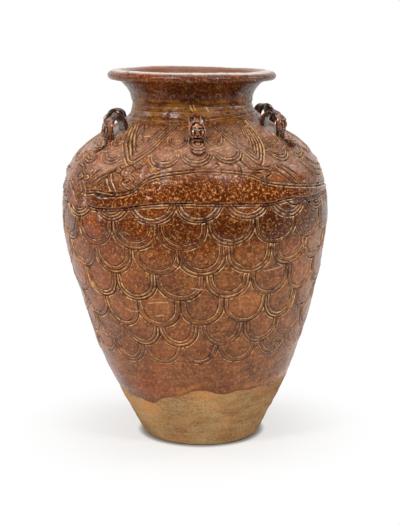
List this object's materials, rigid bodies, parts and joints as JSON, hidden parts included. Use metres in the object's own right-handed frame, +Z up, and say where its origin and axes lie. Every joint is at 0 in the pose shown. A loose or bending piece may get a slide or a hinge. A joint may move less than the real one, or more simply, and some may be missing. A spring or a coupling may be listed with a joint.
{
  "type": "storage jar",
  "caption": "Tall ovoid glazed stoneware storage jar with incised scales and dragons, flared rim and a ring of masked lugs on the shoulder.",
  "frame": {"origin": "centre of the footprint's box, on the floor under the belly's centre", "axes": "+Z up, the front lug and the dragon's flank face -Y, and the jar leans a little towards -X"},
  "size_m": [0.4319, 0.432, 0.6008],
  "materials": {
    "bare_clay": "unglazed buff stoneware, matt, with faint turning bands",
    "foot_glaze_edge": "bare clay below, brown glaze above with an uneven edge",
    "brown_glaze": "thin amber-brown glaze, semi-gloss, dark in the incised lines and tan on the ridges",
    "amber_glaze": "mottled amber and olive glaze, semi-gloss",
    "worn_rim": "thin worn glaze, pinkish tan on the lip's top",
    "dark_glaze": "pooled near-black brown glaze, glossy"
  },
  "bodies": {
    "root": {"base_slab": "bare_clay", "foot_course": "foot_glaze_edge", "lower_course": "brown_glaze", "belly_course": "brown_glaze", "shoulder_course": "brown_glaze", "neck_collar": "amber_glaze", "rim": "worn_rim", "lug_loop_front": "dark_glaze", "lug_loop_front_right": "dark_glaze", "lug_loop_back_right": "dark_glaze", "lug_loop_back": "dark_glaze", "lug_loop_back_left": "dark_glaze", "lug_loop_front_left": "dark_glaze", "lug_mask_front": "dark_glaze", "lug_mask_front_right": "dark_glaze", "lug_mask_back_right": "dark_glaze", "lug_mask_back": "dark_glaze", "lug_mask_back_left": "dark_glaze", "lug_mask_front_left": "dark_glaze", "lug_pad_front": "brown_glaze", "lug_pad_front_right": "brown_glaze", "lug_pad_back_right": "brown_glaze", "lug_pad_back": "brown_glaze", "lug_pad_back_left": "brown_glaze", "lug_pad_front_left": "brown_glaze"}
  },
  "joints": []
}
